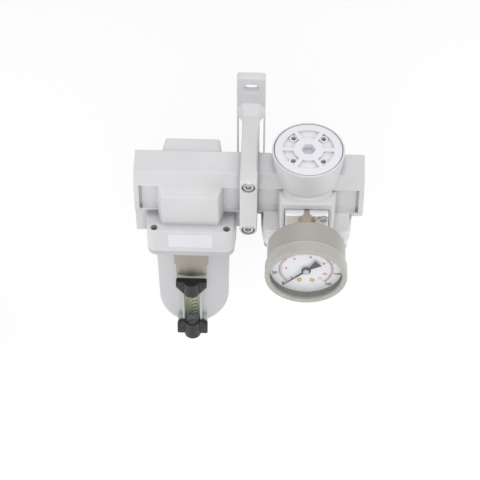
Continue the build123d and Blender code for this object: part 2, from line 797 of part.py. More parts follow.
# ---- T bracket, clamp and joint seals ----
def make_t_bracket():
    x = bracket_x
    root = wall_distance - foot_thickness
    plate = prism_x(block_outline(), spacer_x0, spacer_x1)
    for side in (-1, 1):
        low, high = sorted((side * arm_bottom, side * arm_top))
        arm = slab(x - arm_half_width, x + arm_half_width, -bar_back + clamp_seam, root, low, high)
        outer = side * arm_top
        long_edges = arm.edges().filter_by(Axis.Y).filter_by(lambda e: abs(e.center().Z - outer) < 0.1)
        plate += chamfer(long_edges, edge_round) if side > 0 else fillet(long_edges, arm_half_width - 0.8)
        low, high = sorted((side * (block_half_height - 6), side * (arm_bottom + 1)))
        plate += slab(spacer_x0, spacer_x1, -block_flat_half_depth, lip_half_depth, low, high)
        low, high = side * (arm_bottom + 4), side * arm_top
        near = [(-arm_half_width, low), (arm_half_width, low), (arm_half_width, high - side * edge_round)]
        near += [(arm_half_width - edge_round, high), (edge_round - arm_half_width, high)]
        near += [(-arm_half_width, high - side * edge_round)]
        crest = side * foot_root_height
        far = [(-foot_half_width, low), (foot_half_width, low), (foot_half_width, crest - side * 6.5)]
        far += [(arm_half_width, crest), (-arm_half_width, crest), (-foot_half_width, crest - side * 6.5)]
        plate += lofted_y(x, near, ramp_start, far, root + 0.5)
    plate += slab(
        x - web_thickness / 2, x + web_thickness / 2, lip_half_depth, root, -arm_bottom - 1, arm_bottom + 1,
    )
    plate += slab(
        x - arm_half_width, x + arm_half_width, lip_half_depth + fit_gap, lip_half_depth + 5.0,
        -arm_bottom - 1, arm_bottom + 1,
    )
    claw_outer = bar_half_width - fit_gap
    for side in (-1, 1):
        near, far = sorted((x + side * (claw_outer - claw_thickness), x + side * claw_outer))
        claw_top = lip_half_height - 0.5
        plate += slab(near, far, claw_reach, lip_half_depth + 4, -claw_top, claw_top)
    foot = slab(
        x - foot_half_width, x + foot_half_width, root, wall_distance, -foot_half_height, foot_half_height,
    )
    foot = fillet(foot.edges().filter_by(Axis.Y), foot_corner_round)
    foot_front = foot.edges().filter_by(lambda e: abs(e.center().Y - root) < 0.01 and e.length > 5)
    foot = fillet(foot_front, foot_edge_round)
    for side in (-1, 1):
        slot = Plane.XZ * SlotOverall(slot_length, slot_width)
        cut = extrude(slot, amount=foot_thickness + 2, both=True)
        foot -= Pos(x, wall_distance - foot_thickness / 2, side * slot_height) * cut
        window = [
            (x + side * arm_half_width, window_half_height - 10),
            (x + side * window_outer, window_half_height),
            (x + side * window_outer, -window_half_height),
            (x + side * arm_half_width, -window_half_height + 10),
        ]
        foot -= prism_y(window, root - 1, wall_distance + 1)
    plate += foot
    plate -= bar_x(passage_radius, spacer_x0 - 1, spacer_x1 + 1, 0, 0)
    for side in (-1, 1):
        plate -= bar_y(clamp_screw_radius, -bar_back - 1, 6, x, side * clamp_screw_height)
    return plate


def make_clamp_bar():
    x = bracket_x
    bar = slab(
        x - bar_half_width, x + bar_half_width, -bar_front, -bar_back, -bar_half_height, bar_half_height,
    )
    bar -= slab(
        x - bar_half_width - 1, x + bar_half_width + 1, -lip_half_depth - fit_gap, -bar_back + 1,
        -arm_bottom, arm_bottom,
    )
    claw_top = lip_half_height - 0.5
    for side in (-1, 1):
        outer = x + side * bar_half_width
        near, far = sorted((outer - side * claw_thickness, outer))
        bar += slab(near, far, -bar_front + 5, -claw_reach, -claw_top, claw_top)
    foot_end = bar.edges().filter_by(Axis.Y).filter_by(lambda e: e.center().Z < -bar_half_height + 0.1)
    bar = fillet(foot_end, bar_half_width - 0.4)
    bar = softened(
        bar, bar_top_round, lambda c: c.Y < -bar_front + 0.01 and c.Z > bar_half_height - 0.01,
    )
    front_edges = bar.edges().filter_by(lambda e: e.center().Y < -bar_front + 0.01)
    rim = front_edges.filter_by(lambda e: e.center().Z < bar_half_height - 9)
    bar = fillet(rim, bar_edge_round)
    for side in (-1, 1):
        z = side * clamp_screw_height
        bar -= bar_y(clamp_head_radius + clamp_counterbore_gap, -bar_front - 1, clamp_head_floor, x, z)
        bar -= bar_y(clamp_screw_radius + fit_gap, -bar_front, -bar_back + 1, x, z)
    return bar


def make_clamp_screws():
    screws = []
    head_front = clamp_head_floor - clamp_head_height
    for side in (-1, 1):
        z = side * clamp_screw_height
        head = bar_y(clamp_head_radius, head_front, clamp_head_floor, bracket_x, z)
        head = chamfer(head.edges().filter_by(lambda e: e.center().Y < head_front + 0.1), 0.6)
        screw = head + bar_y(clamp_screw_radius, clamp_head_floor, 5, bracket_x, z)
        socket = prism_y(hexagon(bracket_x, z, 5.0), head_front - 1, clamp_head_floor - 2.8)
        screws.append(screw - socket)
    return group(*screws)


def make_joint_seals():
    seals = []
    for joint_x, way in ((spacer_x0, -1), (spacer_x1, 1)):
        centre = joint_x + way * joint_seal_wire * 0.8
        seals.append(Pos(centre, 0, 0) * Rot(0, 90, 0) * Torus(joint_seal_radius, joint_seal_wire * 0.8))
    return group(*seals)


# ---- regulator body and valve ----
def make_regulator_body():
    x = regulator_x
    body = port_block(spacer_x1, -1)
    low, high = x - regulator_boss_half_width, x + regulator_boss_half_width
    top, d = guide_housing_base, regulator_boss_depth
    profile = [(-d, top), (d, top), (d, regulator_flange_top - 2), (-d, regulator_flange_top - 2)]
    root = lip_half_depth - boss_setback
    boss = prism_x(profile, low - 4, high + 4)
    for side in (-1, 1):
        boss -= prism_z(flank_cut(x, side, regulator_boss_half_width, d, root), -60, 60)
    body += softened(boss, edge_round, lambda c: c.Z > regulator_flange_top and abs(c.Y) > root)
    rim, base, root = guide_housing_rim_radius, guide_housing_base_radius, guide_housing_base
    housing = taper(base, rim, x, 0, root - 2, guide_housing_top)
    body += softened(housing, 0.8, lambda c: c.Z > guide_housing_top - 0.01)
    blend = [(base - 1, root - 1), (base + root_blend, root - 1), (base + root_blend, root)]
    for step in range(1, 5):
        a = pi / 2 * step / 4
        blend.append((base + root_blend * (1 - sin(a)), root + root_blend * (1 - cos(a))))
    blend.append((base - 1, root + root_blend))
    inner_edge = edge_round + 0.2
    body += turned(blend, x) & slab(
        low + inner_edge, high - inner_edge, -d + inner_edge, d - inner_edge, root - 2, root + 5,
    )
    body += skirt(x, regulator_flange_half_depth, regulator_flange_bottom, regulator_flange_top, 0.0, 1.0)
    slope = [
        (-regulator_slope_depth, regulator_slope_top),
        (regulator_slope_depth, regulator_slope_top),
        (regulator_flange_half_depth - 1, regulator_flange_top - 0.5),
        (-regulator_flange_half_depth + 1, regulator_flange_top - 0.5),
    ]
    corner = flange_corner_half_width
    body += prism_x(slope, x - corner, x + corner)
    body -= post(guide_radius + guide_gap, x, 0, guide_floor, guide_housing_top + 1)
    body -= post(valve_chamber_radius, x, 0, valve_seat_height, guide_floor + 1)
    body -= post(valve_seat_radius, x, 0, 0, valve_seat_height + 1)
    body -= post(12.0, x, 0, -14, 4.0)
    body -= post(5.0, x, 0, -30, -13)
    body -= post(diaphragm_chamber_radius, x, 0, -35, -28)
    recess_top = regulator_flange_bottom + diaphragm_thickness
    body -= post(diaphragm_chamber_radius, x, 0, recess_top - 0.1, -34)
    body -= post(diaphragm_radius + fit_gap, x, 0, regulator_flange_bottom - 1, recess_top)
    body -= port_and_seal_cuts(outlet_x, spacer_x1)
    inlet_turn = x - 23.0
    body -= bar_x(inner_passage_radius, spacer_x1, inlet_turn, 0, 0)
    body -= post(6.0, inlet_turn, 0, 0, 17.0)
    body -= bar_x(5.5, inlet_turn - 3, x - 12, 0, 16.0)
    body -= bar_x(6.0, x, outlet_x - port_thread_depth + 1, 0, -5.0)
    for gx, gy in guide_screw_places():
        body -= post(guide_screw_radius + thread_gap, gx, gy, guide_floor - 8, guide_floor + 1)
    hole_top = regulator_flange_bottom + bonnet_screw_reach + 1
    for sx, sy in bonnet_screw_places():
        body -= post(bonnet_screw_radius + thread_gap, sx, sy, regulator_flange_bottom - 1, hole_top)
    body -= slab(
        x - pocket_half_width, x + pocket_half_width, -regulator_boss_depth - 1, -pocket_depth,
        pocket_bottom, pocket_top,
    )
    body -= bar_y(stem_thread_radius, -pocket_depth - 1, -14, x, 0)
    body -= bar_y(3.0, -15, -8, x, -3)
    for sx, sz in cover_screw_places():
        body -= bar_y(cover_screw_radius + thread_gap, -pocket_depth - 1, -pocket_depth + 6, sx, sz)
    return body


def flank_cut(x, side, nose_width, nose_y, root_y):
    """What is cut off one side of the regulator's boss, so that it narrows towards both noses."""
    root_width = nose_width + regulator_boss_flare
    return [
        (x + side * nose_width, -nose_y - 1), (x + side * root_width, -root_y),
        (x + side * root_width, root_y), (x + side * nose_width, nose_y + 1),
        (x + side * (root_width + 9), nose_y + 1), (x + side * (root_width + 9), -nose_y - 1),
    ]


def cover_screw_places():
    """Two screws on a diagonal of the port cover, in X and Z."""
    high = pocket_top - cover_gap - cover_screw_inset
    low = pocket_bottom + cover_gap + cover_screw_inset
    return [(regulator_x + cover_screw_x, high), (regulator_x - cover_screw_x, low)]


def bonnet_screw_places():
    """Four corner screws of the bonnet's flange."""
    dy = regulator_flange_half_depth - 6.5
    return [(regulator_x + i * 32.0, j * dy) for i in (-1, 1) for j in (-1, 1)]


def guide_screw_places():
    """Four screws on a circle round the guide's hub."""
    angles = [radians(45 + 90 * i) for i in range(4)]
    return [(regulator_x + guide_screw_circle * cos(a), guide_screw_circle * sin(a)) for a in angles]


def make_valve_guide():
    """The white disc: six ribs from its hub, four screw holes and a hexagon socket."""
    x = regulator_x
    disc = post(guide_radius, x, 0, guide_floor, guide_top)
    disc = chamfer(disc.edges().filter_by(lambda e: e.center().Z > guide_top - 0.1), 0.6)
    floor = guide_top - guide_pocket_depth
    above = guide_top + 1
    pockets = post(guide_pocket_outer, x, 0, floor, above) - post(guide_pocket_inner, x, 0, floor, above)
    half_rib = guide_rib_width / 2
    for i in range(3):
        rib = slab(-guide_radius, guide_radius, -half_rib, half_rib, floor, above)
        pockets -= Pos(x, 0, 0) * Rot(0, 0, 60 * i) * rib
    disc -= pockets
    for sx, sy in guide_screw_places():
        disc += post(guide_screw_hole_radius + 1.3, sx, sy, guide_floor, guide_top - 0.9)
    disc += post(guide_hub_radius, x, 0, guide_hub_bottom, guide_floor + 1)
    seat = guide_floor + guide_screw_seat
    for sx, sy in guide_screw_places():
        disc -= post(guide_screw_hole_radius, sx, sy, seat, guide_top + 1)
        disc -= post(guide_screw_radius + fit_gap, sx, sy, guide_floor - 1, seat + 1)
    disc -= prism_z(hexagon(x, 0, guide_hex_width, 0), guide_top - 6, guide_top + 1)
    disc -= post(valve_stem_radius + 0.06, x, 0, guide_hub_bottom - 1, guide_hub_bottom + 14)
    disc -= post(9.0, x, 0, guide_hub_bottom - 1, guide_hub_bottom + 4)
    return disc


def make_guide_screws():
    screws = []
    seat = guide_floor + guide_screw_seat
    for sx, sy in guide_screw_places():
        screw = post(guide_screw_hole_radius - 0.15, sx, sy, seat, seat + 2.5)
        screw += post(guide_screw_radius, sx, sy, guide_floor - 7, seat)
        screw -= slab(sx - 3, sx + 3, sy - 0.4, sy + 0.4, seat + 1.5, seat + 3)
        screws.append(screw)
    return group(*screws)


def make_valve_train():
    x = regulator_x
    poppet_low = valve_seat_height + 0.1
    stem_low = regulator_flange_bottom + diaphragm_thickness + 2.0
    spring_low = poppet_low + poppet_thickness
    valve = post(poppet_radius, x, 0, poppet_low, spring_low)
    valve += post(valve_stem_radius, x, 0, spring_low - 0.1, guide_hub_bottom + 8)
    valve += post(push_rod_radius, x, 0, stem_low, poppet_low + 1)
    parts["main_valve"] = valve
    spring_high = guide_hub_bottom + 4
    parts["valve_spring"] = coil(
        valve_spring_radius, valve_spring_wire, valve_spring_turns, x, spring_low, spring_high,
    )
    seal_z = guide_floor - 3.5
    parts["guide_seal"] = ring(valve_chamber_radius - 0.75, 0.72, x, seal_z)
    rim_low = regulator_flange_bottom
    rim_high = rim_low + diaphragm_thickness
    flat_low = rim_low - diaphragm_dip
    flat_high = flat_low + diaphragm_thickness
    parts["diaphragm"] = turned(
        [
            (4.2, flat_low), (plate_radius, flat_low), (diaphragm_chamber_radius, rim_low),
            (diaphragm_radius, rim_low), (diaphragm_radius, rim_high),
            (diaphragm_chamber_radius - 1.0, rim_high), (plate_radius - 1.0, flat_high), (4.2, flat_high),
        ],
        x,
    )
    plate = post(plate_radius, x, 0, flat_low - plate_thickness, flat_low)
    plate += post(3.9, x, 0, flat_low - 0.5, stem_low)
    parts["diaphragm_plate"] = plate


def make_bonnet():
    x = regulator_x
    top = regulator_flange_bottom
    bonnet = skirt(x, regulator_flange_half_depth, bonnet_flange_bottom, top, bonnet_flange_inset)
    bonnet += post(bonnet_radius, x, 0, bonnet_shoulder, top)
    shoulder = bonnet.edges().filter_by(lambda e: abs(e.center().Z - bonnet_shoulder) < 0.1)
    bonnet = fillet(shoulder, 1.2)
    bonnet += post(bonnet_neck_radius, x, 0, bonnet_bottom, bonnet_shoulder + 2)
    for i in range(bonnet_keys):
        key = slab(
            x + bonnet_neck_radius - 1, x + bonnet_neck_radius + 0.5, -0.8, 0.8,
            bonnet_shoulder - 2.2, bonnet_shoulder + 1,
        )
        bonnet += Pos(x, 0, 0) * Rot(0, 0, 360 / bonnet_keys * i) * Pos(-x, 0, 0) * key
    bonnet -= post(bonnet_bore_radius, x, 0, bonnet_shoulder + 4, top + 1)
    bonnet -= post(diaphragm_chamber_radius + fit_gap, x, 0, top - diaphragm_dip, top + 1)
    bonnet -= post(bonnet_neck_radius - 3, x, 0, bonnet_floor, bonnet_shoulder + 5)
    bonnet -= post(adjusting_screw_radius + 1 + thread_gap, x, 0, bonnet_bottom - 1, bonnet_floor + 1)
    half_key = spring_seat_key_half_width
    for side in (-1, 1):
        middle = x + side * bonnet_bore_radius
        bonnet += slab(
            middle - 3.0, middle + 3.0, -half_key, half_key, bonnet_shoulder + 3, bonnet_flange_bottom - 4,
        )
    for sx, sy in bonnet_screw_places():
        bonnet -= post(bonnet_screw_radius + fit_gap, sx, sy, bonnet_flange_bottom - 1, top + 1)
    vent_height = bonnet_flange_bottom - 12
    bonnet -= bar_y(1.2, bonnet_bore_radius - 2, bonnet_radius + 1, x, vent_height)
    return bonnet


def make_bonnet_screws():
    screws = []
    low = bonnet_flange_bottom
    shank_top = regulator_flange_bottom + bonnet_screw_reach
    for sx, sy in bonnet_screw_places():
        head = post(bonnet_screw_head_radius, sx, sy, low - bonnet_screw_head_height, low)
        shank = post(bonnet_screw_radius, sx, sy, low, shank_top)
        socket = prism_z(hexagon(sx, sy, 4.0), low - bonnet_screw_head_height - 1, low - 2.2)
        screws.append(head + shank - socket)
    return group(*screws)


def make_adjuster():
    x = regulator_x
    seat_low = spring_seat_top - spring_seat_thickness
    seat = post(spring_seat_radius, x, 0, seat_low, spring_seat_top)
    seat -= post(adjusting_screw_radius + thread_gap, x, 0, seat_low - 1, spring_seat_top + 1)
    room = spring_seat_key_room
    half_slot = spring_seat_key_half_width + room
    for side in (-1, 1):
        middle = x + side * bonnet_bore_radius
        seat -= slab(
            middle - 3.0 - room, middle + 3.0 + room, -half_slot, half_slot,
            seat_low - 1, spring_seat_top + 1,
        )
    parts["spring_seat"] = seat
    plate_low = regulator_flange_bottom - diaphragm_dip - plate_thickness
    parts["adjusting_spring"] = coil(
        adjusting_spring_radius, adjusting_spring_wire, adjusting_spring_turns, x,
        spring_seat_top, plate_low,
    )
    screw = post(adjusting_screw_radius, x, 0, bonnet_floor, adjusting_screw_top)
    screw += post(adjusting_screw_radius + 3, x, 0, bonnet_floor + 0.15, bonnet_floor + 3)
    screw += post(adjusting_screw_radius + 1, x, 0, bonnet_bottom - 1, bonnet_floor + 1)
    screw += prism_z(hexagon(x, 0, hub_hex_width), hub_bottom, bonnet_bottom - 0.4)
    screw -= post(2.1, x, 0, hub_bottom - 1, hub_bottom + 10)
    parts["adjusting_screw"] = screw
    knob = post(knob_radius, x, 0, knob_bottom, knob_top)
    low_edge = knob.edges().filter_by(lambda e: e.center().Z < knob_bottom + 0.1)
    knob = fillet(low_edge, 3.0)
    for i in range(knob_flutes):
        a = 2 * pi * i / knob_flutes
        fx, fy = x + (knob_radius + 0.3) * cos(a), (knob_radius + 0.3) * sin(a)
        knob -= post(knob_flute_radius, fx, fy, knob_bottom + 3.5, knob_top - 2)
    knob -= post(bonnet_neck_radius + 0.9, x, 0, bonnet_bottom - 6, knob_top + 1)
    knob -= prism_z(hexagon(x, 0, hub_hex_width + 0.3), hub_bottom - 5.5, bonnet_bottom - 5)
    parts["knob"] = knob


# ---- pressure gauge ----
def make_gauge():
    x = regulator_x
    back, front = -case_back, -gauge_front
    rim = -bezel_back - 2.5
    floor = back - case_wall - 2
    inner = case_radius - case_wall
    case = turned_y(
        [(0, back), (case_radius, back), (case_radius, rim), (inner, rim), (inner, floor), (0, floor)], x,
    )
    case = softened(case, case_back_round, lambda c: abs(c.Y - back) < 0.01)
    case -= bar_y(stem_thread_radius - 1.5, back - 6, back + 1, x, 0)
    parts["gauge_case"] = case
    seat = case_radius + 0.05
    bezel = turned_y(
        [
            (seat, -bezel_back), (bezel_radius, -bezel_back), (bezel_radius, front), (bezel_opening, front),
            (bezel_opening, -lens_depth), (seat, -lens_depth),
        ],
        x,
    )
    bezel = softened(bezel, bezel_round, lambda c: c.Y < front + 0.01)
    parts["gauge_bezel"] = softened(bezel, 0.5, lambda c: abs(c.Y + bezel_back) < 0.01)
    lens_radius = case_radius - 0.2
    parts["gauge_lens"] = bar_y(lens_radius, -lens_depth, -lens_depth + lens_thickness, x, 0)
    dial = bar_y(dial_radius, -dial_depth, -dial_depth + dial_thickness, x, 0)
    dial -= bar_y(2.2, -dial_depth - 1, -dial_depth + 2, x, 0)
    screws = []
    for sx, sz in dial_screw_places():
        dial -= bar_y(dial_screw_radius + thread_gap, -dial_depth - 1, -dial_depth + 2, sx, sz)
        head = bar_y(dial_screw_head_radius, -dial_depth - 1.0, -dial_depth, sx, sz)
        head -= slab(sx - 2, sx + 2, -dial_depth - 1.5, -dial_depth - 0.6, sz - 0.25, sz + 0.25)
        screws.append(head + bar_y(dial_screw_radius, -dial_depth, -dial_depth + 5, sx, sz))
    parts["gauge_dial"] = dial
    parts["dial_screws"] = group(*screws)
    make_pointer()
    make_movement()
    make_gauge_fitting()


def dial_screw_places():
    """Two screws below the dial's centre, in X and Z."""
    return [(regulator_x + side * dial_screw_x, -dial_screw_drop) for side in (-1, 1)]


def make_gauge_fitting():
    """The gauge's brass stem, and the screwed block it comes out through."""
    x = regulator_x
    back = -case_back
    stem = bar_y(stem_collar_radius, back, -stem_collar_front, x, 0)
    stem += prism_y(hexagon(x, 0, stem_hexagon), -stem_collar_front, -cover_front)
    stem += bar_y(stem_thread_radius - 0.1, -cover_front, -pocket_depth + 10, x, 0)
    stem += bar_y(stem_thread_radius - 1.6, back - 5.0, back, x, 0)
    stem -= bar_y(stem_bore_radius, back - 6, -pocket_depth + 11, x, 0)
    parts["gauge_fitting"] = stem
    cover = slab(
        x - pocket_half_width + cover_gap, x + pocket_half_width - cover_gap, -cover_front, -pocket_depth,
        pocket_bottom + cover_gap, pocket_top - cover_gap,
    )
    cover = chamfer(cover.edges().filter_by(lambda e: e.center().Y < -cover_front + 0.01), 1.2)
    cover -= bar_y(stem_thread_radius + fit_gap, -cover_front - 1, -pocket_depth + 1, x, 0)
    cover_screws = []
    for sx, sz in cover_screw_places():
        cover -= bar_y(cover_screw_radius + fit_gap, -cover_front - 1, -pocket_depth + 1, sx, sz)
        top = -cover_front - cover_screw_head_height
        head = bar_y(cover_screw_head_radius, top, -cover_front, sx, sz)
        head = chamfer(head.edges().filter_by(lambda e: e.center().Y < top + 0.01), 0.5)
        head -= slab(sx - 2.5, sx + 2.5, top - 1, top + 1.1, sz - 0.5, sz + 0.5)
        head -= slab(sx - 0.5, sx + 0.5, top - 1, top + 1.1, sz - 2.5, sz + 2.5)
        shank = bar_y(cover_screw_radius, -cover_front, -pocket_depth + 5, sx, sz)
        cover_screws.append(head + shank)
    parts["port_cover"] = cover
    parts["port_cover_screws"] = group(*cover_screws)


def make_pointer():
    """The pointer and its brass cap, which turn on the movement's spindle."""
    x = regulator_x
    a = radians(pointer_angle_at_zero)
    y0, y1 = -dial_depth - 2.2, -dial_depth - 1.6
    along, across = (cos(a), sin(a)), (-sin(a), cos(a))

    def place(forward, sideways):
        return (x + along[0] * forward + across[0] * sideways, along[1] * forward + across[1] * sideways)

    tail, half_tail = pointer_tail, pointer_tail_half_width
    outline = [
        place(pointer_length, 0.25), place(2.5, 0.9), place(-4.0, 0.8), place(-tail, half_tail),
        place(-tail, -half_tail), place(-4.0, -0.8), place(2.5, -0.9), place(pointer_length, -0.25),
    ]
    pointer = prism_y(outline, y0, y1) + bar_y(4.0, y0, y1, x, 0)
    pointer -= bar_y(spindle_radius + 0.02, y0 - 1, y1 + 1, x, 0)
    parts["gauge_pointer"] = pointer
    hub = bar_y(2.6, y0 - 1.0, y0, x, 0)
    hub = chamfer(hub.edges().filter_by(lambda e: e.center().Y < y0 - 0.9), 0.3)
    parts["pointer_hub"] = hub + bar_y(spindle_radius, y0, -dial_depth + 6, x, 0)


def make_movement():
    """A bent pressure tube and the small gear plate that turn pressure into motion."""
    x = regulator_x
    tube_y = -case_back - 14.0
    bend, tube_radius = pressure_tube_bend, pressure_tube_radius
    tube = Pos(x, tube_y, 0) * Rot(90, 0, 0) * Torus(bend, tube_radius)
    reach = bend + tube_radius + 1.6
    tube -= slab(x - reach, x - 2, tube_y - 4, tube_y + 4, -reach, 2)
    tube += slab(x - 5, x + 5, -case_back - 16, -case_back - 5.2, -reach, -bend + 6)
    parts["bourdon_tube"] = tube
    plate = slab(x - 9, x + 9, -case_back - 13, -case_back - 11.5, -dial_screw_drop - 1, 10)
    plate += bar_y(3.0, -dial_depth + 9.5, -case_back - 11, x, 0)
    plate -= bar_y(spindle_radius + 0.08, -dial_depth + 3, -case_back - 10, x, 0)
    for px, pz in dial_screw_places():
        plate += bar_y(dial_post_radius, -dial_depth + dial_thickness + 0.1, -case_back - 12, px, pz)
        plate -= bar_y(dial_screw_radius + thread_gap, -dial_depth, -dial_depth + 6, px, pz)
    for px, pz in ((-7, -12), (7, -12), (-7, 8), (7, 8)):
        plate += bar_y(1.2, -case_back - 12, -case_back - 3.5, x + px, pz)
    parts["gauge_movement"] = plate


# ---- build and write ----
def build():
    parts["filter_body"] = make_filter_body()
    parts["flange_screws"] = make_flange_screws()
    parts["filter_bowl"] = make_filter_bowl()
    make_sight()
    make_filter_internals()
    make_drain()
    parts["t_bracket"] = make_t_bracket()
    parts["clamp_bar"] = make_clamp_bar()
    parts["clamp_screws"] = make_clamp_screws()
    parts["joint_seals"] = make_joint_seals()
    parts["regulator_body"] = make_regulator_body()
    parts["valve_guide"] = make_valve_guide()
    parts["guide_screws"] = make_guide_screws()
    make_valve_train()
    parts["bonnet"] = make_bonnet()
    parts["bonnet_screws"] = make_bonnet_screws()
    make_adjuster()
    make_gauge()


build()
os.makedirs("parts", exist_ok=True)
for name, shape in parts.items():
    export_step(shape, f"parts/{name}.step")
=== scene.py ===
"""Looks for the air filter and pressure regulator: materials, dial print, small castings, light, camera."""

import json
from math import cos, pi, radians, sin

import bmesh
import bpy
from mathutils import Matrix, Vector


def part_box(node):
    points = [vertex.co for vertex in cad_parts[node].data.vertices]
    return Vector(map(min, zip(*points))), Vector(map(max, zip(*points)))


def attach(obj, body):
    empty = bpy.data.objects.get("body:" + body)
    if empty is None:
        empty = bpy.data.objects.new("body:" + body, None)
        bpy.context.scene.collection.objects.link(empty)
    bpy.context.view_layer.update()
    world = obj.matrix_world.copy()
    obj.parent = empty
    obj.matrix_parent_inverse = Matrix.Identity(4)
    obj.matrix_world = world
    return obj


MM = 0.001
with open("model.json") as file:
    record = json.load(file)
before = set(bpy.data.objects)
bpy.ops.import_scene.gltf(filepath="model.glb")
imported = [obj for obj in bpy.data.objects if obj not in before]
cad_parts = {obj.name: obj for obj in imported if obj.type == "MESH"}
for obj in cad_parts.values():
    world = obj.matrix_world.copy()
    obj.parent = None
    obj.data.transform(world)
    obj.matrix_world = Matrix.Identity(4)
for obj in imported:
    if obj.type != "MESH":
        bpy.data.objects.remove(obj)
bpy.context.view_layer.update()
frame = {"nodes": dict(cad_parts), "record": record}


# ---------------------------------------------------------------- materials
class Graph:
    """A short way to write a material's nodes."""

    def __init__(self, name):
        self.material = bpy.data.materials.new(name)
        self.material.use_nodes = True
        self.tree = self.material.node_tree
        self.tree.nodes.clear()
        self.out = self.tree.nodes.new("ShaderNodeOutputMaterial")
        self.coords = self.tree.nodes.new("ShaderNodeTexCoord").outputs["Object"]

    def node(self, kind, **inputs):
        """Adds a node. Inputs are values or sockets, with underscores for spaces."""
        made = self.tree.nodes.new(kind)
        for key, value in inputs.items():
            socket = made.inputs[key.replace("_", " ")]
            if isinstance(value, bpy.types.NodeSocket):
                self.tree.links.new(value, socket)
            else:
                socket.default_value = value
        return made

    def noise(self, scale, detail=4.0, roughness=0.55, coords=None):
        made = self.node("ShaderNodeTexNoise", Scale=scale, Detail=detail, Roughness=roughness)
        self.tree.links.new(coords or self.coords, made.inputs["Vector"])
        return made.outputs["Fac"]

    def stretched(self, stretch):
        """Coordinates squeezed along some axes, for brushed or drawn surfaces."""
        made = self.node("ShaderNodeMapping", Vector=self.coords, Scale=stretch)
        return made.outputs["Vector"]

    def ramp(self, factor, stops):
        made = self.node("ShaderNodeValToRGB", Fac=factor)
        elements = made.color_ramp.elements
        while len(elements) < len(stops):
            elements.new(0.5)
        for element, (position, colour) in zip(elements, stops):
            element.position = position
            element.color = (*colour, 1.0) if len(colour) == 3 else colour
        return made.outputs["Color"]

    def span(self, factor, low, high):
        """Maps a 0 to 1 factor on to a range."""
        made = self.node("ShaderNodeMapRange", Value=factor, To_Min=low, To_Max=high)
        return made.outputs["Result"]

    def math(self, operation, a, b=0.0):
        made = self.tree.nodes.new("ShaderNodeMath")
        made.operation = operation
        for socket, value in zip(made.inputs, (a, b)):
            if isinstance(value, bpy.types.NodeSocket):
                self.tree.links.new(value, socket)
            else:
                socket.default_value = value
        return made.outputs[0]

    def mix(self, factor, a, b, blend="MIX"):
        made = self.tree.nodes.new("ShaderNodeMix")
        made.data_type = "RGBA"
        made.blend_type = blend
        for socket, value in ((made.inputs[0], factor), (made.inputs[6], a), (made.inputs[7], b)):
            if isinstance(value, bpy.types.NodeSocket):
                self.tree.links.new(value, socket)
            else:
                socket.default_value = value if isinstance(value, float) else (*value, 1.0)
        return made.outputs[2]

    def edges(self, radius):
        """0 on flat ground, towards 1 along sharp edges."""
        bevel = self.node("ShaderNodeBevel", Radius=radius)
        geometry = self.tree.nodes.new("ShaderNodeNewGeometry")
        dot = self.tree.nodes.new("ShaderNodeVectorMath")
        dot.operation = "DOT_PRODUCT"
        self.tree.links.new(bevel.outputs["Normal"], dot.inputs[0])
        self.tree.links.new(geometry.outputs["Normal"], dot.inputs[1])
        away = self.math("SUBTRACT", 1.0, dot.outputs["Value"])
        return self.math("MULTIPLY", away, 3.0)

    def creases(self, base, reach, depth):
        """Painted shade: darkens corners and gaps by how hidden they are from light."""
        hidden = self.node("ShaderNodeAmbientOcclusion", Distance=reach)
        hidden.samples = 8
        shade = self.ramp(hidden.outputs["AO"], [(0.25, (depth,) * 3), (0.85, (1.0, 1.0, 1.0))])
        return self.mix(1.0, base, shade, "MULTIPLY")

    def bump(self, height, strength, distance):
        made = self.node("ShaderNodeBump", Height=height, Strength=strength, Distance=distance)
        return made.outputs["Normal"]

    def finish(self, **inputs):
        surface = self.node("ShaderNodeBsdfPrincipled", **inputs)
        self.tree.links.new(surface.outputs[0], self.out.inputs["Surface"])
        return self.material


def paint(name, colour, rough=0.42, grain=900.0, tint=0.03, crease_shade_depth=0.6):
    """Sprayed or powder paint: fine orange peel, faint mottling, painted shade in creases, painted
    highlights along edges.
    """
    g = Graph(name)
    cloud = g.noise(28.0, 3.0)
    fine = g.noise(grain, 3.0)
    darker = tuple(c * (1 - tint) for c in colour)
    lighter = tuple(min(1.0, c * (1 + tint)) for c in colour)
    base = g.ramp(cloud, [(0.3, darker), (0.7, lighter)])
    # Painted highlight: edges are painted paler than the flat ground.
    painted_edge_highlight = tuple(min(1.0, c * 1.28) for c in colour)
    base = g.mix(g.edges(0.0008), g.creases(base, 8 * MM, crease_shade_depth), painted_edge_highlight)
    normal = g.bump(fine, 0.35, 0.04 * MM)
    roughness = g.span(g.noise(120.0, 4.0), rough - 0.06, rough + 0.08)
    return g.finish(Base_Color=base, Roughness=roughness, Normal=normal, Specular_IOR_Level=0.45)


def plastic(name, colour, rough=0.38, grain=1400.0, tint=0.02, subsurface=0.0, edge=1.1):
    """Moulded plastic: a satin spark-eroded grain, faint flow marks, painted shade in creases, painted
    highlights along edges.
    """
    g = Graph(name)
    flow = g.noise(14.0, 2.0, coords=g.stretched((1.0, 1.0, 3.0)))
    darker = tuple(c * (1 - tint) for c in colour)
    lighter = tuple(min(1.0, c * (1 + tint)) for c in colour)
    base = g.creases(g.ramp(flow, [(0.35, darker), (0.65, lighter)]), 5 * MM, 0.7)
    # Painted highlight: edges are painted paler by the edge factor.
    base = g.mix(g.edges(0.0005), base, tuple(min(1.0, c * edge) for c in colour))
    normal = g.bump(g.noise(grain, 2.0), 0.25, 0.00003)
    roughness = g.span(g.noise(90.0, 3.0), rough - 0.05, rough + 0.06)
    return g.finish(
        Base_Color=base, Roughness=roughness, Normal=normal, Subsurface_Weight=subsurface,
        Subsurface_Scale=0.001,
    )


